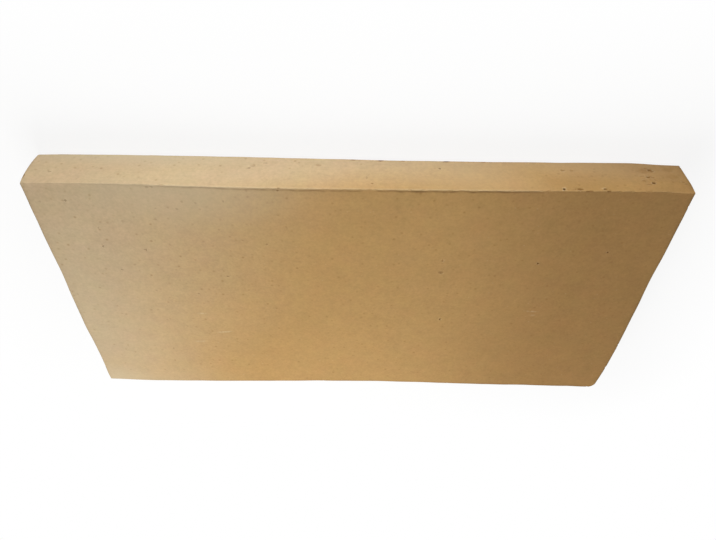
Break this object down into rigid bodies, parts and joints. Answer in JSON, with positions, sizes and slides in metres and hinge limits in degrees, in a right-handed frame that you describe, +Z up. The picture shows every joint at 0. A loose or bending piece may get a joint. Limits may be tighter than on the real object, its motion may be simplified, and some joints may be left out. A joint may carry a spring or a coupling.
{
  "type": "refractory firebrick slab",
  "caption": "Flat rectangular slab of fired buff fireclay with slightly hollow long sides and one worn corner, for lining a stove, oven or kiln.",
  "frame": {"origin": "middle of the lower bed face, where the slab lies on the floor", "axes": "+X along the length, +Y across the width from the front long side to the back one, +Z up from the lower bed face to the upper one"},
  "size_m": [0.4, 0.2, 0.03],
  "materials": {
    "fireclay": "matte unglazed fired clay, buff, finely gritty, with small iron specks"
  },
  "bodies": {
    "root": {"firebrick": "fireclay"}
  },
  "joints": []
}
